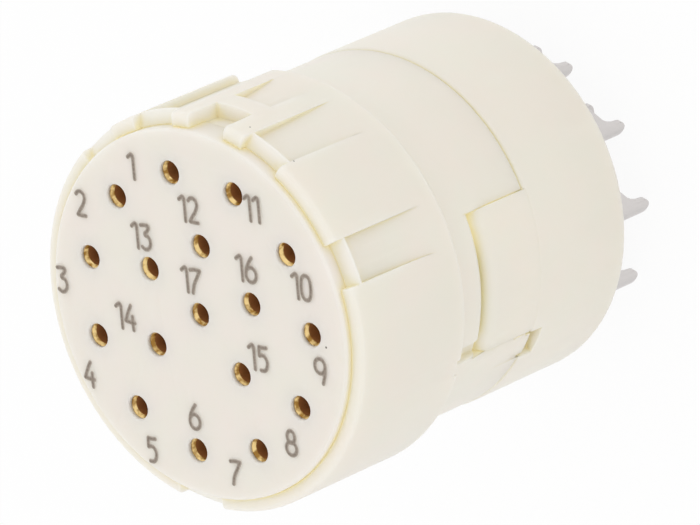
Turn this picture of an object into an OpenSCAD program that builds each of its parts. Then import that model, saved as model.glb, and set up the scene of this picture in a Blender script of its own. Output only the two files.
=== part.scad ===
// Socket insert of a round multi-way signal connector. A coded body carries seventeen turned
// socket contacts, a white plate covers the mating side, and a cap traps the contacts behind.
// The axis stands along Z. The mating face looks up and the insert stands on its solder cups.
// Lengths are in millimetres. Depths are counted from the mating face towards the cups.

/* [Lengths] */
// Mating face to the rear face of the cap
insert_len = 20.9; // [19:0.05:30]
// Reach of the solder cups behind the cap
cup_reach = 3.1; // [2.6:0.05:6]
// Mating face to the rear edge of the coded band
band_len = 7.9; // [7.2:0.1:9.6]
// Length of the cap's collar with its end wall
cap_len = 6.7; // [4.5:0.05:8.5]
// Thickness of the cap's end wall
cap_floor = 3; // [1.5:0.1:4]
// Length of body between the band and the tip of a tongue
tongue_start = 2.3; // [0.8:0.1:3]

/* [Contact layout] */
// Pitch circle of the outer ring of contacts
outer_pitch_d = 14; // [13:0.1:18]
// Pitch circle of the inner ring of contacts
inner_pitch_d = 7; // [5.6:0.1:8.4]

/* [Contacts] */
// Bore of a socket
socket_d = 1.04; // [0.8:0.01:1.3]
// Depth of the full bore of a socket
socket_depth = 6; // [4:0.1:7.5]
// Wall of the spring tines round the bore
tine_wall = 0.28; // [0.2:0.01:0.4]
// Width of the slot that parts the tines
slot_w = 0.18; // [0.1:0.01:0.25]
// Diameter of the shank behind the tines
shank_d = 1.2; // [0.8:0.05:1.4]
// Outer diameter of a solder cup
cup_d = 2.26; // [1.6:0.02:2.4]
// Wall of a solder cup
cup_wall = 0.28; // [0.15:0.01:0.35]
// Direction that the solder cups open to, in degrees
cup_turn = 80; // [0:5:355]
// Overlap of a contact's collar beyond its hole in the cap
collar_grip = 0.11; // [0.05:0.01:0.2]
// Thickness of a contact's collar
collar_t = 0.55; // [0.3:0.05:0.9]

/* [Front plate] */
// Thickness of the plate
plate_t = 1.5; // [0.8:0.1:3]
// Height of the plate above the body's rim
plate_proud = 0.32; // [0.1:0.01:0.5]
// Thin lip of the plate over each contact
lip_t = 0.26; // [0.15:0.01:0.5]
// Room of a hole in the plate round the socket's bore
hole_room = 0.07; // [0.03:0.01:0.15]
// Chamfer at the mouth of a hole in the plate
hole_lead = 0.06; // [0.02:0.01:0.1]

/* [Walls and steps] */
// Wall of the body outside the outer contacts
core_wall = 0.35; // [0.3:0.05:1]
// Wall of the cap's collar
cap_wall = 0.87; // [0.6:0.01:1.5]
// Height of the cap's collar over the body in front of it
cap_step = 0.06; // [0:0.01:0.1]
// Radius that the body loses behind the band
mid_taper = 0.26; // [0:0.01:0.4]
// Length over which the body tapers behind the band
taper_len = 3.6; // [2:0.1:5]
// Height of the coded band over the body behind it
band_step = 0.84; // [0.5:0.02:2]
// Wall of the band's rim round the front plate
rim_wall = 0.7; // [0.6:0.05:1]
// Rounding on both edges of the coded band
band_round = 0.28; // [0.1:0.02:0.35]
// Rounding on the front edge of the collar
cap_round = 0.25; // [0.1:0.05:0.5]
// Fillet on the cap's rear edge
rear_round = 0.3; // [0.1:0.05:0.5]
// Rounding on the tip of a tongue
tip_round = 0.85; // [0.3:0.05:0.9]
// Rounding on the body's edge in front of a tongue
lip_round = 0.6; // [0.2:0.05:0.7]
// Height of a tongue over the collar
tongue_rise = 0.05; // [0:0.01:0.2]

/* [Coding] */
// Depth at which the sloping floor of a front notch starts
notch_floor = 0.65; // [0.4:0.05:0.8]
// Depth at which the sloping floor of a front notch runs out
notch_end = 1; // [0.8:0.05:1.3]
// Bridge between a front notch and the recess behind it
bridge_len = 0.15; // [0.1:0.05:0.5]
// Radial depth of a recess at its front end
recess_deep = 0.45; // [0.2:0.05:0.6]
// Full band left behind the recesses
recess_land = 1.4; // [1:0.1:2]
// Depth of the deep notch of the key
key_len = 2.4; // [1.6:0.1:3]
// Bridge between the key's notch and its recess
key_bridge = 1.3; // [0.5:0.1:1.5]
// Width of the key, in degrees
key_width = 13; // [8:0.5:16]

/* [Cap] */
// Width of a tongue, in degrees
tongue_width = 46.2; // [30:0.1:60]
// Direction of the first tongue, in degrees
tongue_turn = 5.6; // [0:0.1:10]
// Width of the slot in front of a tongue's corner, in degrees
slot_width = 5.5; // [3:0.1:10]
// Depth of the slot in front of a tongue's corner
slot_deep = 0.25; // [0.1:0.05:0.5]
// Collar left between the first tongue and the window, in degrees
window_step = 1; // [0.5:0.1:2]
// Width of the window beside the first tongue, in degrees
window_width = 10.3; // [5:0.1:12]
// Depth of the window in the collar's edge
window_len = 1; // [0.6:0.05:1.5]
// Reach of the body's tab into the window
tab_len = 0.4; // [0.2:0.05:0.5]

/* [Hidden] */
$fn = 72;

IVORY = [0.91, 0.89, 0.84];
WHITE = [0.93, 0.92, 0.88];
GOLD = [0.85, 0.62, 0.25];

// The outer ring has its first contact half a step past the key. The inner ring uses every
// second step of the outer one, counted from the key: on it, to its left twice, to its right twice.
outer_count = 11;
way_count = 17;
way_step = 360 / outer_count;
KEY_TURN = 90;
INNER_STEPS = [0, 1, 2, -2, -1];

// Direction and width of each coding notch round the band, in degrees, and whether its recess
// runs out through the rear edge of the band
NOTCHES = [[29.9, 13.4, false], [69.5, 14, false], [110.5, 15, true], [135, 14, false],
           [270, 16, false]];

gap = 0.05;
seat_gap = 0.015;
over = 1;
total_len = insert_len + cup_reach;

socket_r = socket_d / 2;
contact_r = socket_r + tine_wall;
hole_r = socket_r + hole_room;
cup_r = cup_d / 2;
cup_hole_r = cup_r + gap;
collar_r = cup_hole_r + collar_grip;
core_r = outer_pitch_d / 2 + contact_r + gap + core_wall;
cap_bore_r = core_r + gap;
cap_r = cap_bore_r + cap_wall;
mid_r = cap_r - cap_step;
band_r = mid_r + band_step;
rim_r = band_r - rim_wall;
plate_r = rim_r - seat_gap;
pocket_r = core_r + gap;
tongue_in_r = pocket_r + gap;
tongue_out_r = cap_r + tongue_rise;

cap_edge = insert_len - cap_len;
body_shoulder = cap_edge - seat_gap;
seat = insert_len - cap_floor;
pocket_start = band_len + tongue_start;
tongue_tip = pocket_start + seat_gap;
tongue_side = tongue_turn - tongue_width / 2;
window_turn = tongue_side - window_step - window_width / 2;
nose = lip_t + gap / 2;
recess_start = notch_end + bridge_len;
recess_end = band_len - recess_land;

// Height of a plane that lies at a depth behind the mating face
function at(depth) = total_len - depth;

// Radius of the tapered body at a depth behind the band
function skin(depth) = mid_r + mid_taper * max(0, 1 - (depth - band_len) / taper_len);

// Points of an arc about a centre, with both ends
function arc(centre, r, from, to, steps = 6) =
    [for (i = [0 : steps]) centre + r * [cos(from + (to - from) * i / steps),
                                         sin(from + (to - from) * i / steps)]];

function polar(r, turn) = [r * cos(turn), r * sin(turn)];

// Place of contact k, counted as the numbers on the plate count them
function way(k) =
    k <= outer_count ? polar(outer_pitch_d / 2, KEY_TURN + way_step * (k - 0.5))
    : k < way_count ? polar(inner_pitch_d / 2, KEY_TURN + 2 * way_step * INNER_STEPS[k - outer_count - 1])
    : [0, 0];

// A section swept round the axis over a width, centred on a direction
module sector(turn, width) {
    rotate([0, 0, turn - width / 2])
        rotate_extrude(angle = width)
            children();
}

// One round hole at each contact, between two depths
module way_holes(r, front, back) {
    for (k = [1 : way_count])
        translate([way(k).x, way(k).y, at(back)])
            cylinder(r = r, h = back - front);
}

// Turned outline of a contact: tines, shank, pilot, collar and cup
module contact_turning() {
    barrel_end = nose + socket_depth + 1.6;
    pilot_start = seat - 1.3;
    chamfer = 0.1;
    rotate_extrude()
        polygon([
            [0, at(nose)],
            [contact_r - chamfer, at(nose)],
            [contact_r, at(nose + chamfer)],
            [contact_r, at(barrel_end)],
            [shank_d / 2, at(barrel_end + 0.2)],
            [shank_d / 2, at(pilot_start - 0.2)],
            [contact_r, at(pilot_start)],
            [contact_r, at(seat)],
            [collar_r, at(seat)],
            [collar_r, at(seat + collar_t)],
            [cup_r, at(seat + collar_t)],
            [cup_r, 0],
            [0, 0]
        ]);
}

// Bore of the socket with a lead-in at its mouth and a drill point at its end
module socket_bore() {
    lead_wide = 0.1;
    lead_long = 0.2;
    point = 0.3;
    bore_end = nose + lead_long + socket_depth;
    translate([0, 0, at(bore_end)])
        cylinder(r = socket_r, h = bore_end);
    translate([0, 0, at(bore_end + point)])
        cylinder(r1 = 0, r2 = socket_r, h = point);
    translate([0, 0, at(nose + lead_long)])
        cylinder(r1 = socket_r, r2 = socket_r + lead_wide, h = lead_long);
}

// Slot that leaves two spring tines
module tine_slot() {
    slot_len = socket_depth + 0.7;
    translate([-contact_r - over, -slot_w / 2, at(nose + slot_len)])
        cube([2 * (contact_r + over), slot_w, slot_len + over]);
}

// Hollow of the solder cup, and the cut that opens it to one side and rounds the tip of its wall
module cup_hollow() {
    hollow_len = cup_reach - 0.6;
    lip_len = 1;
    wall_top = 0.23;
    wall_round = 0.53;
    run = cup_reach - lip_len - wall_round;
    rise = cup_r - wall_top;
    scoop_r = (run * run + rise * rise) / (2 * rise);
    translate([0, 0, -over])
        cylinder(r = cup_r - cup_wall, h = hollow_len + over);
    rotate([90, 0, cup_turn])
        linear_extrude(height = 2 * (cup_r + over), center = true)
            polygon(concat(
                [[cup_r + over, -over],
                 [cup_r + over, cup_reach - lip_len]],
                arc([wall_top + scoop_r, wall_round], scoop_r, 180 - asin(run / scoop_r), 180),
                arc([wall_top - wall_round, wall_round], wall_round, 0, -90),
                [[wall_top - wall_round, -over]]
            ));
}

module contact(k) {
    color(GOLD)
        translate(way(k))
            difference() {
                contact_turning();
                socket_bore();
                tine_slot();
                cup_hollow();
            }
}

// White plate on the mating side, with a thin lip over each contact
module front_plate() {
    edge = 0.1;
    color(WHITE)
        difference() {
            rotate_extrude()
                polygon([
                    [0, at(plate_t)],
                    [plate_r, at(plate_t)],
                    [plate_r, at(edge)],
                    [plate_r - edge, at(0)],
                    [0, at(0)]
                ]);
            way_holes(hole_r, -over, plate_t + over);
            way_holes(contact_r + gap, lip_t, plate_t + over);
            for (k = [1 : way_count])
                translate([way(k).x, way(k).y, at(hole_lead)])
                    cylinder(r1 = hole_r, r2 = hole_r + hole_lead, h = hole_lead);
        }
}

// Full outline of the body: rim, band, tapered middle and core
module body_turning() {
    rotate_extrude()
        polygon(concat(
            [[0, at(plate_t)],
             [rim_r, at(plate_t)],
             [rim_r, at(plate_proud)]],
            arc([band_r - band_round, at(plate_proud + band_round)], band_round, 90, 0),
            arc([band_r - band_round, at(band_len - band_round)], band_round, 0, -90),
            [[skin(band_len), at(band_len)],
             [mid_r, at(band_len + taper_len)],
             [mid_r, at(body_shoulder)],
             [core_r, at(body_shoulder)],
             [core_r, at(seat)],
             [0, at(seat)]]
        ));
}

// Notch in the rim whose floor slopes out from the plate to the band's surface
module front_notch(turn, width) {
    slope = (notch_end - notch_floor) / rim_wall;
    sector(turn, width)
        polygon([
            [plate_r - gap, at(-over)],
            [plate_r - gap, at(notch_floor)],
            [band_r + over, at(notch_end + slope * over)],
            [band_r + over, at(-over)]
        ]);
}

// Recess whose floor starts deep. It runs out before the band's rear edge or passes through it
module long_recess(turn, width, start, through) {
    slope = recess_deep / (recess_end - start);
    floor_r = band_r - recess_deep;
    sector(turn, width)
        polygon(concat(
            [[floor_r, at(start)],
             [band_r + over, at(start)]],
            through
                ? [[band_r + over, at(band_len + over)],
                   [floor_r, at(band_len + over)]]
                : [[band_r + over, at(recess_end + over / slope)]]
        ));
}

// The key is a deep straight notch at the front, with a recess behind its bridge
module key_cuts() {
    sector(KEY_TURN, key_width)
        polygon([
            [plate_r - gap, at(-over)],
            [plate_r - gap, at(key_len)],
            [band_r + over, at(key_len)],
            [band_r + over, at(-over)]
        ]);
    long_recess(KEY_TURN, key_width, key_len + key_bridge, false);
}

// Pocket of the body that a tongue of the cap lies in
module tongue_pocket(turn) {
    side_room = 0.1;
    edge = pocket_start - lip_round;
    sector(turn, tongue_width + 2 * side_room)
        polygon(concat(
            [[pocket_r, at(pocket_start)]],
            arc([skin(edge) - lip_round, at(edge)], lip_round, -90, 0),
            [[band_r + over, at(edge)],
             [band_r + over, at(cap_edge + over)],
             [pocket_r, at(cap_edge + over)]]
        ));
}

// Slot that leads from the band's rear edge to the corner of a tongue
module corner_slot(turn) {
    into_band = 0.35;
    past_side = 0.6;
    sector(turn - tongue_width / 2 + past_side + slot_width / 2, slot_width)
        polygon([
            [mid_r - slot_deep, at(band_len - into_band)],
            [band_r + over, at(band_len - into_band)],
            [band_r + over, at(pocket_start + gap)],
            [mid_r - slot_deep, at(pocket_start + gap)]
        ]);
}

// Tab that enters the window of the cap and keeps it from turning
module window_tab() {
    tab_low = 0.1;
    upper_room = 1.7;
    lower_room = 0.1;
    sector(window_turn - (upper_room - lower_room) / 2, window_width - upper_room - lower_room)
        polygon([
            [core_r - core_wall / 2, at(body_shoulder - over)],
            [mid_r - tab_low, at(body_shoulder - over)],
            [mid_r - tab_low, at(body_shoulder + tab_len)],
            [core_r - core_wall / 2, at(body_shoulder + tab_len)]
        ]);
}

// Shallow flat of the body in front of the window, with a groove beside the tongue
module window_flat() {
    flat_len = 2;
    groove_len = 1;
    groove_width = 1.5;
    flat_deep = 0.1;
    sector(window_turn, window_width)
        polygon([
            [mid_r, at(body_shoulder - flat_len)],
            [mid_r + over, at(body_shoulder - flat_len)],
            [mid_r + over, at(body_shoulder)],
            [mid_r - flat_deep, at(body_shoulder)]
        ]);
    sector(tongue_side - groove_width / 2, groove_width)
        polygon([
            [mid_r - slot_deep, at(body_shoulder - groove_len)],
            [mid_r + over, at(body_shoulder - groove_len)],
            [mid_r + over, at(body_shoulder + over)],
            [mid_r - slot_deep, at(body_shoulder + over)]
        ]);
}

// Moulded body: it guides the contacts and carries the coding of the connector
module insert_body() {
    color(IVORY)
        difference() {
            union() {
                body_turning();
                window_tab();
            }
            way_holes(contact_r + gap, plate_t - over, seat + over);
            for (n = NOTCHES) {
                front_notch(n[0], n[1]);
                long_recess(n[0], n[1], recess_start, n[2]);
            }
            key_cuts();
            for (turn = [tongue_turn, tongue_turn + 180]) {
                tongue_pocket(turn);
                corner_slot(turn);
            }
            window_flat();
        }
}

// Collar and end wall of the cap, before its bores
module cap_turning() {
    rotate_extrude()
        polygon(concat(
            [[0, at(insert_len)]],
            arc([cap_r - rear_round, at(insert_len - rear_round)], rear_round, -90, 0),
            arc([cap_r - cap_round, at(cap_edge + cap_round)], cap_round, 0, 90),
            [[0, at(cap_edge)]]
        ));
}

// Tongue that reaches forward from the collar into its pocket
module tongue(turn) {
    root = cap_edge + 1.8;
    sector(turn, tongue_width)
        polygon(concat(
            [[tongue_in_r, at(root)],
             [cap_r - gap, at(root)]],
            arc([tongue_out_r - tip_round, at(tongue_tip + tip_round)], tip_round, 0, 90),
            [[tongue_in_r, at(tongue_tip)]]
        ));
}

// Cap that closes the rear, traps the collars of the contacts and grips the body
module rear_cap() {
    color(IVORY)
        difference() {
            union() {
                cap_turning();
                for (turn = [tongue_turn, tongue_turn + 180])
                    tongue(turn);
            }
            translate([0, 0, at(seat)])
                cylinder(r = cap_bore_r, h = seat - cap_edge + over);
            way_holes(cup_hole_r, seat - over, insert_len + over);
            way_holes(collar_r + gap, seat - over, seat + collar_t + gap);
            sector(window_turn, window_width)
                polygon([
                    [core_r, at(cap_edge - over)],
                    [cap_r + over, at(cap_edge - over)],
                    [cap_r + over, at(cap_edge + window_len)],
                    [core_r, at(cap_edge + window_len)]
                ]);
        }
}

for (k = [1 : way_count])
    contact(k);
front_plate();
insert_body();
rear_cap();
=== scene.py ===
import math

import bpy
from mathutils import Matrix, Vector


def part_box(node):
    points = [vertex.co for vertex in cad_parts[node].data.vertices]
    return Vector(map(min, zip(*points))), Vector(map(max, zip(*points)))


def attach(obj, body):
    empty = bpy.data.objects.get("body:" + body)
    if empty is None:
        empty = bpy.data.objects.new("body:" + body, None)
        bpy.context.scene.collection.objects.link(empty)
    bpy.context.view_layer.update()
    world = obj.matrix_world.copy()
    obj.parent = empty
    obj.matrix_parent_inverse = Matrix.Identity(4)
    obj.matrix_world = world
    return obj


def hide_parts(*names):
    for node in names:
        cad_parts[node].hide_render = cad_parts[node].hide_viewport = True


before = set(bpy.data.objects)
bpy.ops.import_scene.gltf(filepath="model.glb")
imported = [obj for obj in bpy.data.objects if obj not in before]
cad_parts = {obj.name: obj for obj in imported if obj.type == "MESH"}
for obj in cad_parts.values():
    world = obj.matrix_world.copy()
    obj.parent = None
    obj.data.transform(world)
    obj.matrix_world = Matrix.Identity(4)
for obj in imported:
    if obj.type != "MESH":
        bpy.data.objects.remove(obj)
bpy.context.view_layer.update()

# %% [markdown]
# # The socket insert of a round signal connector
#
# The object is the inside of a seventeen-way cable plug: an ivory plastic body with a coded band,
# a white plate that carries the numbers, a cap behind, and seventeen turned sockets with solder
# cups. The frame holds all of them at their real size. The lesson gives the moulded pieces their
# soft edges, prints the numbers, and works out the finishes, the light and the camera.

MM = 0.001

face_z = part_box("front_plate")[1].z
rim_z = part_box("insert_body")[1].z
cap_rear_z, cap_front_z = (corner.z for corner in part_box("rear_cap"))
print("mating face at", round(face_z / MM, 2), "mm, rim at", round(rim_z / MM, 2),
      "mm, cap from", round(cap_rear_z / MM, 2), "to", round(cap_front_z / MM, 2), "mm")

# %% [markdown]
# ## Moulded and turned pieces with soft edges
#
# No moulded edge is truly sharp: the tool's corners are rounded by a tenth of a millimetre or so,
# and each one draws a thin light line. The frame's solids have sharp edges there. A copy of such a
# solid is merged into a closed shell, its flat faces are joined up again, and a bevel then rounds
# only the edges between faces that meet at a clear angle. It is quicker than modelling the piece
# anew, and the copy keeps every measured size.
#
# An operator works on whatever is selected, and loading the frame leaves its nodes selected. So
# each step starts by clearing the selection and naming the one piece that it works on.

# %% Merged copy of a frame node
MERGE_WITHIN = 0.002 * MM
FLAT_WITHIN = math.radians(0.4)


def only(piece):
    """Make this piece the only selected one."""
    bpy.ops.object.select_all(action="DESELECT")
    piece.select_set(True)
    bpy.context.view_layer.objects.active = piece


def merged_copy(node, name):
    """Copy a frame node, and merge its triangles into a closed shell with whole flat faces."""
    only(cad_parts[node])
    bpy.ops.object.duplicate()
    piece = bpy.context.view_layer.objects.active
    piece.name = name
    piece.parent = None
    for key in list(piece.keys()):
        del piece[key]
    only(piece)
    bpy.ops.object.mode_set(mode="EDIT")
    bpy.ops.mesh.select_all(action="SELECT")
    bpy.ops.mesh.remove_doubles(threshold=MERGE_WITHIN)
    bpy.ops.mesh.dissolve_limited(angle_limit=FLAT_WITHIN)
    bpy.ops.mesh.normals_make_consistent(inside=False)
    bpy.ops.object.mode_set(mode="OBJECT")
    return piece


print("nodes that can be copied:", len(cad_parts))

# %% Sharp edges
SHARP_OVER = math.radians(40)


def weigh_sharp_edges(piece, stays_sharp=None):
    """Mark the sharp edges for the bevel, and count those that are left as they are."""
    bpy.ops.object.mode_set(mode="EDIT")
    bpy.ops.mesh.select_mode(type="EDGE")
    bpy.ops.mesh.select_all(action="DESELECT")
    bpy.ops.mesh.edges_select_sharp(sharpness=SHARP_OVER)
    bpy.ops.object.mode_set(mode="OBJECT")
    kept = 0
    corners = piece.data.vertices
    for edge in piece.data.edges:
        if edge.select and stays_sharp:
            first, second = (corners[index].co for index in edge.vertices)
            if stays_sharp((first + second) / 2):
                edge.select = False
                kept += 1
    bpy.ops.object.mode_set(mode="EDIT")
    bpy.ops.transform.edge_bevelweight(value=1.0)
    bpy.ops.mesh.select_mode(type="VERT")
    bpy.ops.object.mode_set(mode="OBJECT")
    return kept


print("edges are rounded where faces meet at over", round(math.degrees(SHARP_OVER)), "degrees")

# %% Soft-edged copy
SMOOTH_UNDER = math.radians(35)


def apply_modifier(piece, kind, **settings):
    """Add a modifier of one kind with its settings, and apply it."""
    only(piece)
    step = piece.modifiers.new(kind.title(), kind)
    for setting, value in settings.items():
        setattr(step, setting, value)
    bpy.ops.object.modifier_apply(modifier=step.name)


def triangles(piece):
    """Count the triangles that a piece's faces make."""
    return sum(len(face.vertices) - 2 for face in piece.data.polygons)


def soft_copy(node, name, radius, stays_sharp=None):
    """Copy a frame node and round its sharp edges, apart from those that stay sharp."""
    piece = merged_copy(node, name)
    kept = weigh_sharp_edges(piece, stays_sharp)
    apply_modifier(piece, "BEVEL", width=radius, segments=2, limit_method="WEIGHT",
                   use_clamp_overlap=False)
    only(piece)
    bpy.ops.object.shade_smooth_by_angle(angle=SMOOTH_UNDER)
    print(name, "has", triangles(piece), "triangles,", kept, "edges kept sharp")
    return piece


print("faces shade smoothly where they meet at under", round(math.degrees(SMOOTH_UNDER)), "degrees")

# %% [markdown]
# Where a tongue of the cap lies snugly against the body, a rounded edge would open a groove that
# the real insert doesn't have. Those edges could be picked one by one, but their numbers change
# with the mesh. So they are found by their direction round the axis and their height, and stay as
# sharp as the frame has them.

# %% Body, cap and plate
MOULDED_EDGE = 0.06 * MM
PLATE_EDGE = 0.025 * MM
BAND_REAR_Z = face_z - 7.9 * MM

# Each has the directions in degrees, how near to them an edge lies, and the heights between.
SHARP_POCKETS = ((-17.6, 28.8, 162.4, 208.8), 0.25, cap_rear_z + 5 * MM, cap_front_z + 0.1 * MM)
SHARP_SLOTS = ((-17.0, 163.0), 0.2, BAND_REAR_Z - 0.1 * MM, BAND_REAR_Z + 0.4 * MM)


def beside_tongue(place):
    """Tell whether a place lies on the side of a tongue's pocket, or of the slot before it."""
    turn = math.degrees(math.atan2(place.y, place.x))
    for sides, near, low, high in (SHARP_POCKETS, SHARP_SLOTS):
        off = min(abs((turn - side + 180) % 360 - 180) for side in sides)
        if off < near and low < place.z < high:
            return True
    return False


body = soft_copy("insert_body", "coded_body", MOULDED_EDGE, beside_tongue)
cap = soft_copy("rear_cap", "end_cap", MOULDED_EDGE)
plate = soft_copy("front_plate", "numbered_plate", PLATE_EDGE)

# %% [markdown]
# ## Seventeen contacts
#
# A contact is turned from rod: a slotted socket in front, a collar, and an open solder cup behind.
# It could be spun from a profile, but the frame's solid already has the slot and the cup. Every
# contact is the same piece, so one is softened and then copied to each place. Each copy gets a
# mesh of its own, moved inside the mesh, so that its object stays at the origin.
#
# The slot between the tines can face any way. Here it is turned to lie across the line of sight:
# a cut through the solid barrel frees the front end, which turns and is then joined on again.

# %% Places of the contacts
CONTACTS = sorted(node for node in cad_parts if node.startswith("contact_"))
middle = {}
for node in CONTACTS:
    low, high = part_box(node)
    middle[node] = (low + high) / 2

axis = middle["contact_17"]
print(len(CONTACTS), "contacts, the last", round(axis.xy.length / MM, 3), "mm off the centre")

# %% Cutting and joining
def cut_flat(piece, height, keep_upper):
    """Cut a piece flat at a height, close the cut, and keep its upper or its lower part."""
    only(piece)
    bpy.ops.object.mode_set(mode="EDIT")
    bpy.ops.mesh.select_mode(type="VERT")
    bpy.ops.mesh.select_all(action="SELECT")
    bpy.ops.mesh.bisect(plane_co=(0, 0, height), plane_no=(0, 0, 1), use_fill=True,
                        clear_inner=keep_upper, clear_outer=not keep_upper,
                        threshold=0.0001 * MM)
    bpy.ops.object.mode_set(mode="OBJECT")


def join(pieces, name):
    """Join several pieces into the first, under one name."""
    only(pieces[0])
    for piece in pieces[1:]:
        piece.select_set(True)
    if len(pieces) > 1:
        bpy.ops.object.join()
    pieces[0].name = name
    return pieces[0]


BARREL_CUT_Z = face_z - 7.4 * MM
print("the barrel is cut", round((face_z - BARREL_CUT_Z) / MM, 1), "mm below the mating face")

# %% Master contact with a turned front end
TURNED_EDGE = 0.02 * MM
SLOT_HALF = 0.09 * MM
TINE_TURN = math.radians(120)


def on_slot_wall(place):
    """Tell whether a place lies on a wall of the slot between the tines."""
    off_wall = abs(abs(place.y - axis.y) - SLOT_HALF)
    return off_wall < 0.01 * MM and place.z > cap_front_z


master = soft_copy("contact_17", "contact_master", TURNED_EDGE, on_slot_wall)
only(master)
bpy.ops.object.duplicate()
front_end = bpy.context.view_layer.objects.active
cut_flat(master, BARREL_CUT_Z, keep_upper=False)
cut_flat(front_end, BARREL_CUT_Z, keep_upper=True)
bpy.ops.object.mode_set(mode="EDIT")
bpy.ops.mesh.select_all(action="SELECT")
# With no window the operator turns the other way, so the angle is negative.
bpy.ops.transform.rotate(value=-TINE_TURN, orient_axis="Z",
                         center_override=(axis.x, axis.y, 0))
bpy.ops.object.mode_set(mode="OBJECT")
join([master, front_end], "contact_master")
bpy.ops.object.shade_smooth_by_angle(angle=SMOOTH_UNDER)
print("front end turned,", triangles(master), "triangles in each contact")

# %% Copies of the contact
contacts = []
for node in CONTACTS:
    mesh = master.data.copy()
    shift = middle[node] - axis
    mesh.transform(Matrix.Translation((shift.x, shift.y, 0)))
    piece = bpy.data.objects.new("socket_" + node[-2:], mesh)
    bpy.context.scene.collection.objects.link(piece)
    contacts.append(piece)
bpy.data.objects.remove(master)
print(len(contacts), "contacts copied")

# %% [markdown]
# ## Printed numbers
#
# The numbers are pad-printed in a grey-brown ink, in a plain engraver's figure of one stroke
# width with round ends. A text object would be quicker, but no built-in font draws such figures.
# So each figure is drawn as a bent wire, a few points with smooth handles. The wire gets the
# stroke's width, a fine remesh melts its crossings and ends into one shape, and pressing it flat
# leaves the thin film of ink, half of it sunk into the plate.

# %% Strokes of the figures
# Points are shares of a figure's height, from its lower left corner. True marks a closed loop.
def ring(x, y, wide, tall):
    """Four points of an upright oval about a centre."""
    return [(x + wide, y), (x, y + tall), (x - wide, y), (x, y - tall)]


FIGURES = {
    "0": [(ring(0.25, 0.5, 0.24, 0.5), True)],
    "1": [([(0.0, 0.86), (0.1, 0.94), (0.19, 0.99), (0.26, 0.93), (0.27, 0.75)], False),
          ([(0.27, 0.85), (0.28, 0.42), (0.29, 0.0)], False)],
    "2": [([(0.03, 0.88), (0.15, 0.99), (0.34, 0.98), (0.46, 0.8), (0.38, 0.5), (0.2, 0.24),
            (0.09, 0.07)], False),
          ([(0.07, 0.03), (0.26, 0.02), (0.48, 0.03)], False)],
    "3": [([(0.03, 0.97), (0.24, 1.0), (0.42, 0.96), (0.36, 0.78), (0.22, 0.61), (0.4, 0.53),
            (0.49, 0.33), (0.42, 0.1), (0.23, 0.0), (0.05, 0.08)], False)],
    "4": [([(0.33, 1.0), (0.17, 0.68), (0.03, 0.34)], False),
          ([(0.03, 0.34), (0.28, 0.31), (0.5, 0.31)], False),
          ([(0.4, 0.56), (0.4, 0.28), (0.42, 0.0)], False)],
    "5": [([(0.46, 0.98), (0.28, 0.96), (0.1, 0.97)], False),
          ([(0.1, 0.97), (0.09, 0.78), (0.09, 0.6)], False),
          ([(0.09, 0.6), (0.27, 0.64), (0.44, 0.5), (0.47, 0.25), (0.34, 0.03), (0.14, 0.01)],
           False)],
    "6": [([(0.34, 1.0), (0.2, 0.8), (0.06, 0.52), (0.02, 0.3)], False),
          (ring(0.28, 0.3, 0.26, 0.3), True)],
    "7": [([(0.0, 0.93), (0.25, 0.97), (0.5, 0.96)], False),
          ([(0.5, 0.96), (0.34, 0.66), (0.17, 0.34), (0.09, 0.0)], False)],
    "8": [(ring(0.27, 0.75, 0.19, 0.25), True),
          (ring(0.27, 0.27, 0.26, 0.27), True)],
    "9": [(ring(0.26, 0.7, 0.26, 0.3), True),
          ([(0.52, 0.68), (0.5, 0.42), (0.44, 0.2), (0.38, 0.0)], False)],
}
print(sum(len(strokes) for strokes in FIGURES.values()), "strokes for", len(FIGURES), "figures")

# %% Bent wire of a figure
FIGURE_TALL = 1.22 * MM
STROKE = 0.24 * MM


def bend_wire(figure):
    """Draw the strokes of a figure as round wires, and make them one mesh."""
    bpy.ops.object.select_all(action="DESELECT")
    bpy.ops.curve.primitive_bezier_curve_add(location=(0, 0, 0))
    wire = bpy.context.view_layer.objects.active
    wire.data.splines.clear()
    for points, closed in FIGURES[figure]:
        spline = wire.data.splines.new("BEZIER")
        spline.bezier_points.add(len(points) - 1)
        for knot, (x, y) in zip(spline.bezier_points, points):
            knot.co = Vector((x, y, 0)) * FIGURE_TALL
            knot.handle_left_type = knot.handle_right_type = "AUTO"
        spline.use_cyclic_u = closed
        spline.resolution_u = 8
    wire.data.bevel_depth = STROKE / 2
    wire.data.bevel_resolution = 3
    wire.data.use_fill_caps = True
    only(wire)
    bpy.ops.object.convert(target="MESH")
    return bpy.context.view_layer.objects.active


def round_end(x, y):
    """Add the ball that rounds the end of a stroke."""
    bpy.ops.object.select_all(action="DESELECT")
    bpy.ops.mesh.primitive_uv_sphere_add(segments=16, ring_count=8, radius=STROKE / 2,
                                         location=(x * FIGURE_TALL, y * FIGURE_TALL, 0))
    return bpy.context.view_layer.objects.active


print("figures", round(FIGURE_TALL / MM, 2), "mm tall in strokes of", round(STROKE / MM, 2), "mm")

# %% Film of ink from the wire
INK = 0.018 * MM


def draw_figure(figure):
    """Model one figure as an ink film, with its lower left corner at the origin."""
    shapes = [bend_wire(figure)]
    for points, closed in FIGURES[figure]:
        if not closed:
            shapes += [round_end(*points[0]), round_end(*points[-1])]
    film = join(shapes, "figure_" + figure)
    apply_modifier(film, "REMESH", mode="VOXEL", voxel_size=STROKE / 6)
    only(film)
    bpy.ops.object.mode_set(mode="EDIT")
    bpy.ops.mesh.select_all(action="SELECT")
    bpy.ops.transform.resize(value=(1, 1, 2 * INK / STROKE), center_override=(0, 0, 0))
    bpy.ops.object.mode_set(mode="OBJECT")
    return film


films = {figure: draw_figure(figure) for figure in FIGURES}
print(len(films), "figures drawn,", triangles(films["8"]), "triangles in the eight")

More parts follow.
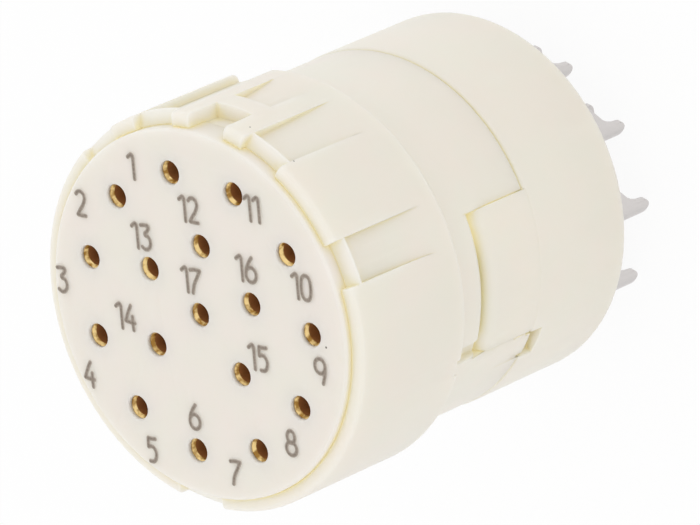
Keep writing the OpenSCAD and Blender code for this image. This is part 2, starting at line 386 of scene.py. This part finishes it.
# %% [markdown]
# The figures lean a little to the left. A number's place is the middle of its figures, given in
# millimetres from the axis, and a two-figure number sets its figures closely side by side.

# %% Places and widths of the numbers
NUMBER_PLACES = [(-4.35, 6.4), (-7.5, 3.6), (-8.65, -0.65), (-6.87, -5.05), (-2.85, -7.8),
                 (-0.2, -5.3), (2.45, -7.4), (5.85, -4.85), (7.57, -0.65), (6.35, 3.27),
                 (3.2, 6.35), (-0.7, 5.2), (-3.65, 3.0), (-4.6, -1.4), (3.75, -1.1),
                 (2.9, 3.2), (-0.5, 1.65)]
FIGURE_WIDE = {"1": 0.29, "7": 0.5}
OTHER_WIDE = 0.52
FIGURE_SPACE = 0.16
LEAN = math.radians(6)
FILM_SMOOTH_UNDER = math.radians(40)
print(len(NUMBER_PLACES), "numbers to print, leaning", round(math.degrees(LEAN)), "degrees")

# %% Numbers on the plate
def print_number(count, place):
    """Set the figures of one number on the plate, about its place."""
    figures = str(count)
    widths = [FIGURE_WIDE.get(figure, OTHER_WIDE) for figure in figures]
    pen = -(sum(widths) + FIGURE_SPACE * (len(figures) - 1)) / 2
    parts = []
    for figure, wide in zip(figures, widths):
        part = films[figure].copy()
        part.data = films[figure].data.copy()
        bpy.context.scene.collection.objects.link(part)
        set_here = (Matrix.Translation(Vector((place[0] * MM, place[1] * MM, face_z)))
                    @ Matrix.Rotation(LEAN, 4, "Z")
                    @ Matrix.Translation(Vector((pen, -0.5, 0)) * FIGURE_TALL))
        part.data.transform(set_here)
        parts.append(part)
        pen += wide + FIGURE_SPACE
    number = join(parts, f"number_{count:02d}")
    bpy.ops.object.shade_smooth_by_angle(angle=FILM_SMOOTH_UNDER)
    return number


numbers = [print_number(count, place) for count, place in enumerate(NUMBER_PLACES, start=1)]
for film in films.values():
    bpy.data.objects.remove(film)
print(len(numbers), "numbers printed")

# %% [markdown]
# ## Shared effects
#
# The plastics share three effects: the fine satin grain that the mould leaves, a soft mottling of
# the colour, and small specks of dirt. The grain and the mottling serve the metal and the ink too.
# Each could be built anew in every material, but a node group is built once, and placed with
# values of its own.

# %% Node helpers
FLOAT = "NodeSocketFloat"
VECTOR = "NodeSocketVector"


def new_group(name, inputs, outputs):
    """Make a shader node group. An input is (name, socket type, value), an output the first two."""
    group = bpy.data.node_groups.new(name, "ShaderNodeTree")
    for label, kind, value in inputs:
        socket = group.interface.new_socket(label, in_out="INPUT", socket_type=kind)
        if value is not None:
            socket.default_value = value
    for label, kind in outputs:
        group.interface.new_socket(label, in_out="OUTPUT", socket_type=kind)
    return group, group.nodes.new("NodeGroupInput"), group.nodes.new("NodeGroupOutput")


def math_node(tree, operation, first, second, clamp=False):
    """Add a Math node whose two inputs are values or sockets."""
    node = tree.nodes.new("ShaderNodeMath")
    node.operation = operation
    node.use_clamp = clamp
    for slot, value in enumerate((first, second)):
        if isinstance(value, (int, float)):
            node.inputs[slot].default_value = value
        else:
            tree.links.new(value, node.inputs[slot])
    return node.outputs[0]


print("a group's sockets are", FLOAT, "and", VECTOR)

# %% Grain and mottling
GRAIN_SIZE = 0.08
MOTTLE_SIZE = 3.0
grain_group, grain_in, grain_out = new_group(
    "Moulded grain",
    [("Position", VECTOR, None), ("Grain size", FLOAT, GRAIN_SIZE),
     ("Mottle size", FLOAT, MOTTLE_SIZE)],
    [("Grain", FLOAT), ("Mottle", FLOAT)])


def noise(tree, position, size, detail):
    """Add a noise whose blobs are about this many millimetres across."""
    node = tree.nodes.new("ShaderNodeTexNoise")
    node.inputs["Detail"].default_value = detail
    tree.links.new(position, node.inputs["Vector"])
    tree.links.new(math_node(tree, "DIVIDE", 1 / MM, size), node.inputs["Scale"])
    return node.outputs["Fac"]


for label, detail in (("Grain", 3), ("Mottle", 2)):
    blobs = noise(grain_group, grain_in.outputs["Position"], grain_in.outputs[label + " size"],
                  detail)
    grain_group.links.new(blobs, grain_out.inputs[label])
print("grain group has", len(grain_group.nodes), "nodes")

# %% Speck of dirt
def distance_between(tree, first, second):
    """Add a node that measures how far one place is from another, a socket or three values."""
    node = tree.nodes.new("ShaderNodeVectorMath")
    node.operation = "DISTANCE"
    tree.links.new(first, node.inputs[0])
    if isinstance(second, tuple):
        node.inputs[1].default_value = second
    else:
        tree.links.new(second, node.inputs[1])
    return node.outputs["Value"]


speck_group, speck_in, speck_out = new_group(
    "Speck",
    [("Position", VECTOR, None), ("Place", VECTOR, None), ("Size", FLOAT, 0.1 * MM)],
    [("Mask", FLOAT)])
away = distance_between(speck_group, speck_in.outputs["Position"], speck_in.outputs["Place"])
share = math_node(speck_group, "DIVIDE", away, speck_in.outputs["Size"])
inside = math_node(speck_group, "SUBTRACT", 1.0, share, clamp=True)
speck_group.links.new(math_node(speck_group, "MULTIPLY", inside, 2.0, clamp=True),
                      speck_out.inputs["Mask"])
print("speck group has", len(speck_group.nodes), "nodes")

# %% [markdown]
# ## Steps that every finish takes
#
# Each finish starts with the shader and the place on the piece, takes some grain and mottling,
# and mixes colours by masks. Colours are written as they look on screen, from 0 to 255, which is
# easier to judge than the values that a shader takes.

# %% Colours and masks
def linear(red, green, blue):
    """Turn a colour as it looks on screen into the value that a shader takes."""
    def channel(value):
        value /= 255
        return value / 12.92 if value <= 0.04045 else ((value + 0.055) / 1.055) ** 2.4
    return (channel(red), channel(green), channel(blue), 1)


def mix_colour(tree, mask, first, second):
    """Mix two colours, given as values or sockets, by a mask."""
    node = tree.nodes.new("ShaderNodeMix")
    node.data_type = "RGBA"
    tree.links.new(mask, node.inputs["Factor"])
    for label, value in (("A", first), ("B", second)):
        socket = next(s for s in node.inputs if s.name == label and s.type == "RGBA")
        if isinstance(value, tuple):
            socket.default_value = value
        else:
            tree.links.new(value, socket)
    return next(s for s in node.outputs if s.type == "RGBA")


def map_range(tree, value, low, high, to_low=0.0, to_high=1.0):
    """Map a span of values to another, held at its ends."""
    node = tree.nodes.new("ShaderNodeMapRange")
    tree.links.new(value, node.inputs["Value"])
    node.inputs["From Min"].default_value = low
    node.inputs["From Max"].default_value = high
    node.inputs["To Min"].default_value = to_low
    node.inputs["To Max"].default_value = to_high
    return node.outputs["Result"]


print("mid grey on screen is", round(linear(128, 128, 128)[0], 3), "to a shader")

# %% Start of a finish
def start_finish(name, values, grain_size=GRAIN_SIZE, mottle_size=MOTTLE_SIZE):
    """Make a material with its shader's plain values, the place, the grain and the mottling."""
    material = bpy.data.materials.new(name)
    material.use_nodes = True
    tree = material.node_tree
    shader = tree.nodes["Principled BSDF"]
    for label, value in values.items():
        shader.inputs[label].default_value = value
    position = tree.nodes.new("ShaderNodeTexCoord").outputs["Object"]
    skin = tree.nodes.new("ShaderNodeGroup")
    skin.node_tree = grain_group
    skin.inputs["Grain size"].default_value = grain_size
    skin.inputs["Mottle size"].default_value = mottle_size
    tree.links.new(position, skin.inputs["Position"])
    return material, shader, position, skin.outputs["Grain"], skin.outputs["Mottle"]


def height_of(tree, position):
    """Give the height of a place."""
    apart = tree.nodes.new("ShaderNodeSeparateXYZ")
    tree.links.new(position, apart.inputs["Vector"])
    return apart.outputs["Z"]


def raise_grain(tree, shader, grain, depth, strength=1.0):
    """Let the grain raise the surface, and give the bump node."""
    bump = tree.nodes.new("ShaderNodeBump")
    bump.inputs["Distance"].default_value = depth
    bump.inputs["Strength"].default_value = strength
    tree.links.new(grain, bump.inputs["Height"])
    tree.links.new(bump.outputs["Normal"], shader.inputs["Normal"])
    return bump


print("grain of", GRAIN_SIZE, "mm and mottling of", MOTTLE_SIZE, "mm where a finish names none")

# %% [markdown]
# ## Ivory and white plastic
#
# Both plastics let a little light in, so their shadows are warm and soft. In grooves the light
# bounces from wall to wall and takes on the plastic's own yellow, which reads as olive. That olive
# shade is painted into the colour of the grooves. Painting each groove would take long, and the
# ambient occlusion mask finds them all from the shape alone.
#
# Some light also comes through the plastic to its narrow gaps. A weak painted glow in the gaps
# stands in for it: less behind the thick collar, and almost none at the tip of the first tongue, so
# that the crease there stays darker.

# %% Painted light in the gaps
COLLAR_Z = face_z - 14 * MM
PAST_COLLAR_Z = face_z - 13.6 * MM
GLOW_BEHIND_COLLAR = 0.06
GLOW_PAST_COLLAR = 0.17
TONGUE_TIP = (9.1 * MM, 0.2 * MM, face_z - 10.1 * MM)
TIP_NEAR = 1.9 * MM
TIP_FAR = 3.1 * MM
SHARE_AT_TIP = 0.05


def gap_glow(tree, shader, position, in_groove):
    """Paint a weak glow into the gaps of the plastic, less behind the collar and almost none at the
    tongue's tip.
    """
    glow_by_height = map_range(tree, height_of(tree, position), COLLAR_Z, PAST_COLLAR_Z,
                        GLOW_BEHIND_COLLAR, GLOW_PAST_COLLAR)
    off_tip = distance_between(tree, position, TONGUE_TIP)
    glow_off_tip = map_range(tree, off_tip, TIP_NEAR, TIP_FAR, SHARE_AT_TIP, 1.0)
    deep = math_node(tree, "MULTIPLY", in_groove, in_groove)
    strength = math_node(tree, "MULTIPLY", math_node(tree, "MULTIPLY", deep, glow_off_tip), glow_by_height)
    # Painted light: a pale glow, strongest in the deepest gaps.
    shader.inputs["Emission Color"].default_value = linear(236, 229, 202)
    tree.links.new(strength, shader.inputs["Emission Strength"])


print("tip of the first tongue", [round(value / MM, 1) for value in TONGUE_TIP])

# %% Plastic with grooves and specks
GROOVE_REACH = 0.7 * MM
OPEN_SHARE = 0.92
GROOVE_SHARE = 0.4
DIRT = linear(92, 82, 72)


def moulded_plastic(name, colour, warm, groove_shade, specks):
    """Satin plastic with mottled colour, painted olive shade and a painted glow in its grooves,
    fine grain and specks of dirt.
    """
    material, shader, position, grain, mottle = start_finish(name, {
        "Roughness": 0.42, "IOR": 1.5, "Specular IOR Level": 0.35, "Subsurface Weight": 0.8,
        "Subsurface Radius": (1.0, 1.0, 1.0), "Subsurface Scale": 0.8 * MM})
    tree = material.node_tree
    shade = mix_colour(tree, map_range(tree, mottle, 0.35, 0.65), colour, warm)

    hollow = tree.nodes.new("ShaderNodeAmbientOcclusion")
    hollow.samples = 8
    hollow.inputs["Distance"].default_value = GROOVE_REACH
    in_groove = map_range(tree, hollow.outputs["AO"], OPEN_SHARE, GROOVE_SHARE)
    # Painted shade: the grooves that the occlusion mask finds take the olive colour.
    shade = mix_colour(tree, in_groove, shade, groove_shade)
    gap_glow(tree, shader, position, in_groove)

    for x, y, z, size in specks:
        speck = tree.nodes.new("ShaderNodeGroup")
        speck.node_tree = speck_group
        tree.links.new(position, speck.inputs["Position"])
        speck.inputs["Place"].default_value = (x * MM, y * MM, face_z + z * MM)
        speck.inputs["Size"].default_value = size * MM
        shade = mix_colour(tree, speck.outputs["Mask"], shade, DIRT)
    tree.links.new(shade, shader.inputs["Base Color"])
    raise_grain(tree, shader, grain, depth=0.004 * MM, strength=0.5)
    return material


# %% Ivory and white
# A speck is given by its place in millimetres from the middle of the mating face, and its size.
IVORY_SPECKS = [(-2.89, 8.73, -14.18, 0.1), (4.62, 8.76, -1.33, 0.05), (1.89, 9.72, -1.33, 0.05)]
WHITE_SPECKS = [(7.9, 0.65, 0, 0.07)]

# The third colour of each plastic is the painted olive shade of its grooves.
ivory = moulded_plastic("Ivory moulding", linear(237, 233, 221), linear(239, 232, 221),
                        linear(232, 222, 178), IVORY_SPECKS)
white = moulded_plastic("White moulding", linear(235, 231, 221), linear(237, 230, 222),
                        linear(232, 223, 186), WHITE_SPECKS)
print("plastics:", ivory.name, "and", white.name)

# %% [markdown]
# ## Gold and tin
#
# The contacts are gold-plated, and their solder cups are tinned. Two materials would meet in a
# straight line. One material serves both, so that the change follows the height on the contact,
# with a slightly wandering edge.
#
# The mouth of a socket is rolled round, so it looks more upward than the plain cone of the frame.
# Its normals are tilted up in the material, which leaves the measured cone as it is.

# %% Rolled mouth
MOUTH_LOW_Z = face_z - 0.6 * MM
MOUTH_HIGH_Z = face_z - 0.5 * MM
MOUTH_TILT = 0.45


def rolled_normal(tree, height):
    """Give the surface's normal, tilted upward at the mouth of a socket."""
    tilt = tree.nodes.new("ShaderNodeCombineXYZ")
    tree.links.new(map_range(tree, height, MOUTH_LOW_Z, MOUTH_HIGH_Z, 0.0, MOUTH_TILT),
                   tilt.inputs["Z"])
    up = tree.nodes.new("ShaderNodeVectorTransform")
    up.vector_type = "VECTOR"
    up.convert_from, up.convert_to = "OBJECT", "WORLD"
    tree.links.new(tilt.outputs["Vector"], up.inputs["Vector"])
    rolled = tree.nodes.new("ShaderNodeVectorMath")
    tree.links.new(tree.nodes.new("ShaderNodeNewGeometry").outputs["Normal"], rolled.inputs[0])
    tree.links.new(up.outputs["Vector"], rolled.inputs[1])
    even = tree.nodes.new("ShaderNodeVectorMath")
    even.operation = "NORMALIZE"
    tree.links.new(rolled.outputs["Vector"], even.inputs[0])
    return even.outputs["Vector"]


print("mouths tilt from", round((face_z - MOUTH_LOW_Z) / MM, 2), "mm below the mating face up")

# %% Contact metal
GOLD_Z = cap_rear_z + 0.8 * MM
TIN_Z = cap_rear_z + 0.4 * MM


def contact_metal():
    """Gold that turns to tin towards the solder cup, mottled at random dark and light as a painted
    stand-in for uneven reflections.
    """
    material, shader, position, grain, mottle = start_finish(
        "Gold and tin", {"Metallic": 1.0}, grain_size=0.12, mottle_size=0.35)
    tree = material.node_tree
    height = height_of(tree, position)
    wander = math_node(tree, "MULTIPLY", mottle, 0.6 * MM)
    tin = map_range(tree, math_node(tree, "ADD", height, wander), GOLD_Z, TIN_Z)
    # Painted reflection: the gold is mottled between a dark and a light tone.
    gold = mix_colour(tree, map_range(tree, mottle, 0.4, 0.6), linear(158, 118, 58),
                      linear(242, 212, 148))
    tree.links.new(mix_colour(tree, tin, gold, linear(217, 213, 211)),
                   shader.inputs["Base Color"])
    dull = math_node(tree, "MULTIPLY", tin, 0.15)
    streak = math_node(tree, "MULTIPLY", mottle, 0.12)
    tree.links.new(math_node(tree, "ADD", math_node(tree, "ADD", dull, streak), 0.24),
                   shader.inputs["Roughness"])
    bump = raise_grain(tree, shader, grain, depth=0.003 * MM)
    tree.links.new(rolled_normal(tree, height), bump.inputs["Normal"])
    return material


metal = contact_metal()
print("metal:", metal.name)

# %% [markdown]
# Inside the bore only brown reflections are left of the gold, and no clear highlight. A full
# metal would mirror the pale surroundings there, so the bore gets a dull brown of its own: painted
# shade, in place of the dim reflections deep in the gold.

# %% Painted shade in the bore of a socket
def bore_metal():
    """Painted shade: dull brown gold, as it looks deep in a bore."""
    material, shader, _, grain, mottle = start_finish(
        "Gold in the bore", {"Metallic": 0.2, "Specular IOR Level": 0.2}, mottle_size=0.4)
    tree = material.node_tree
    tree.links.new(mix_colour(tree, mottle, linear(158, 106, 60), linear(172, 118, 70)),
                   shader.inputs["Base Color"])
    rough = math_node(tree, "ADD", math_node(tree, "MULTIPLY", grain, 0.2), 0.5)
    tree.links.new(rough, shader.inputs["Roughness"])
    return material


bore = bore_metal()
print("bore:", bore.name)

# %% [markdown]
# ## Printing ink
#
# Pad-printed ink is thin, so the plate shines through it unevenly, most of all at the rim of a
# stroke. A mottling thins the colour, and the height on the rounded film finds the rim.

# %% Ink with pale rims
def printing_ink():
    """Grey-brown ink, blotchy, and paler at the rims of its strokes."""
    material, shader, position, _, mottle = start_finish(
        "Printing ink", {"Roughness": 0.6, "Specular IOR Level": 0.2},
        grain_size=0.05, mottle_size=0.12)
    tree = material.node_tree
    thin = map_range(tree, mottle, 0.35, 0.7)
    shade = mix_colour(tree, thin, linear(124, 112, 100), linear(156, 144, 132))
    rim = map_range(tree, height_of(tree, position), face_z + 0.95 * INK, face_z + 0.25 * INK)
    tree.links.new(mix_colour(tree, rim, shade, linear(204, 195, 184)),
                   shader.inputs["Base Color"])
    return material


ink = printing_ink()
print("ink:", ink.name)

# %% [markdown]
# ## Dressing the pieces
#
# Each softened copy stands for its node in the frame, rides on the one body that the part has, and
# takes its material, and the node is hidden. A contact takes two materials: its bore and the walls
# of its slot are found by their normals and get the painted brown shade.

# %% Materials, bodies and slots
def dress(piece, material, node=None):
    """Give a piece its material and its body, and hide the node that it stands for."""
    piece.data.materials.clear()
    piece.data.materials.append(material)
    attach(piece, "root")
    if node:
        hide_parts(node)


dress(body, ivory, "insert_body")
dress(cap, ivory, "rear_cap")
dress(plate, white, "front_plate")
print("dressed", body.name + ",", cap.name, "and", plate.name)

# %% Contacts with dull bores, and numbers
BORE_FROM_Z = face_z - 0.48 * MM
slot_across = Vector((-math.sin(TINE_TURN), math.cos(TINE_TURN), 0))


def in_socket(face, centre):
    """Tell whether a face lies in the bore of a contact or on a wall of its slot."""
    out = face.center - centre
    out.z = 0
    in_bore = face.normal.dot(out) < 0 and face.center.z < BORE_FROM_Z
    in_slot = (abs(face.normal.dot(slot_across)) > 0.99
               and abs(out.dot(slot_across)) < 1.1 * SLOT_HALF)
    return face.center.z > BARREL_CUT_Z and (in_bore or in_slot)


for piece, node in zip(contacts, CONTACTS):
    dress(piece, metal, node)
    # Painted shade: the bore and the walls of the slot take the dull brown material.
    piece.data.materials.append(bore)
    for face in piece.data.polygons:
        face.material_index = int(in_socket(face, middle[node]))
for number in numbers:
    dress(number, ink)
print("dressed", len(contacts), "contacts, with",
      sum(face.material_index for face in contacts[0].data.polygons), "dull faces in each, and",
      len(numbers), "numbers")

# %% [markdown]
# ## Floor, light and camera
#
# The insert stands on its solder cups on a pale floor, as in a light tent. An even glow from all
# round gives nearly all of the light, as soft as in the photograph. Lamps alone would leave hard
# shadows in the grooves. A large lamp, on the side that the key points to, and a small lower one
# further round only add a little shape and glint. The camera sees the floor as white as paper,
# because its paint glows for what looks straight at it, and it still takes a shadow.

# %% Pale floor
FLOOR_WHITE = 0.93

bpy.ops.object.select_all(action="DESELECT")
bpy.ops.mesh.primitive_plane_add(size=2.0, location=(0, 0, 0))
floor = bpy.context.view_layer.objects.active
floor.name = "pale_floor"
floor_paint = bpy.data.materials.new("Floor paint")
floor_paint.use_nodes = True
tree = floor_paint.node_tree
tree.nodes.remove(tree.nodes["Principled BSDF"])
dull = tree.nodes.new("ShaderNodeBsdfDiffuse")
dull.inputs["Color"].default_value = (FLOOR_WHITE, FLOOR_WHITE, FLOOR_WHITE, 1)
glow = tree.nodes.new("ShaderNodeEmission")
glow.inputs["Strength"].default_value = 1.0
rays = tree.nodes.new("ShaderNodeLightPath")
seen = math_node(tree, "ADD", rays.outputs["Is Camera Ray"], rays.outputs["Is Glossy Ray"])
seen = math_node(tree, "ADD", seen, rays.outputs["Is Transmission Ray"], clamp=True)
blend = tree.nodes.new("ShaderNodeMixShader")
tree.links.new(math_node(tree, "MULTIPLY", seen, FLOOR_WHITE), blend.inputs["Fac"])
tree.links.new(dull.outputs["BSDF"], blend.inputs[1])
tree.links.new(glow.outputs["Emission"], blend.inputs[2])
tree.links.new(blend.outputs["Shader"], tree.nodes["Material Output"].inputs["Surface"])
floor.data.materials.append(floor_paint)
print("floor", round(floor.dimensions.x, 1), "m wide")

# %% Glow and lamps
GLOW = 0.98
LAMP_AWAY = 0.3

world = bpy.context.scene.world or bpy.data.worlds.new("Tent")
bpy.context.scene.world = world
world.use_nodes = True
sky = world.node_tree.nodes["Background"]
sky.inputs["Color"].default_value = (1, 1, 1, 1)
sky.inputs["Strength"].default_value = GLOW


def towards(azimuth, elevation):
    """Give the direction of an azimuth and an elevation in degrees."""
    azimuth, elevation = math.radians(azimuth), math.radians(elevation)
    return Vector((math.cos(azimuth) * math.cos(elevation),
                   math.sin(azimuth) * math.cos(elevation),
                   math.sin(elevation)))


def add_lamp(way, size, energy):
    """Add a square lamp in one direction, facing the insert."""
    bpy.ops.object.light_add(type="AREA", location=way * LAMP_AWAY)
    lamp = bpy.context.view_layer.objects.active
    lamp.rotation_euler = way.to_track_quat("Z", "Y").to_euler()
    lamp.data.size = size
    lamp.data.energy = energy


add_lamp(towards(80, 30), size=0.12, energy=0.014)
add_lamp(towards(156, 22), size=0.03, energy=0.01)
print("glow of", GLOW, "and two lamps", LAMP_AWAY, "m away")

# %% [markdown]
# The camera stands where the holes of the plate fall on their places in the photograph. It is far
# away with a long lens, so the insert shows hardly any perspective, and it is rolled, because the
# insert lies tilted in the picture.

# %% Camera
CAMERA_ROLL = math.radians(-113.79)
CAMERA_AWAY = 462.52 * MM
TARGET = Vector((0.33 * MM, -0.5 * MM, face_z - 10.65 * MM))
SENSOR = 36.0
PHOTO_WIDTH = 700
FOCAL_PIXELS = 9631.3

back = towards(33.23, 44.92)
bpy.ops.object.camera_add(location=TARGET + back * CAMERA_AWAY)
camera = bpy.context.view_layer.objects.active
camera.rotation_mode = "QUATERNION"
level = back.to_track_quat("Z", "Y")
camera.rotation_quaternion = Matrix.Rotation(CAMERA_ROLL, 4, back).to_quaternion() @ level
camera.data.sensor_width = SENSOR
camera.data.lens = FOCAL_PIXELS / PHOTO_WIDTH * SENSOR
camera.data.clip_start = 0.01
camera.data.clip_end = 5.0
bpy.context.scene.camera = camera
bpy.context.scene.view_settings.view_transform = "Standard"
print("camera", round(CAMERA_AWAY / MM), "mm away with a lens of", round(camera.data.lens), "mm")

bpy.context.view_layer.update()
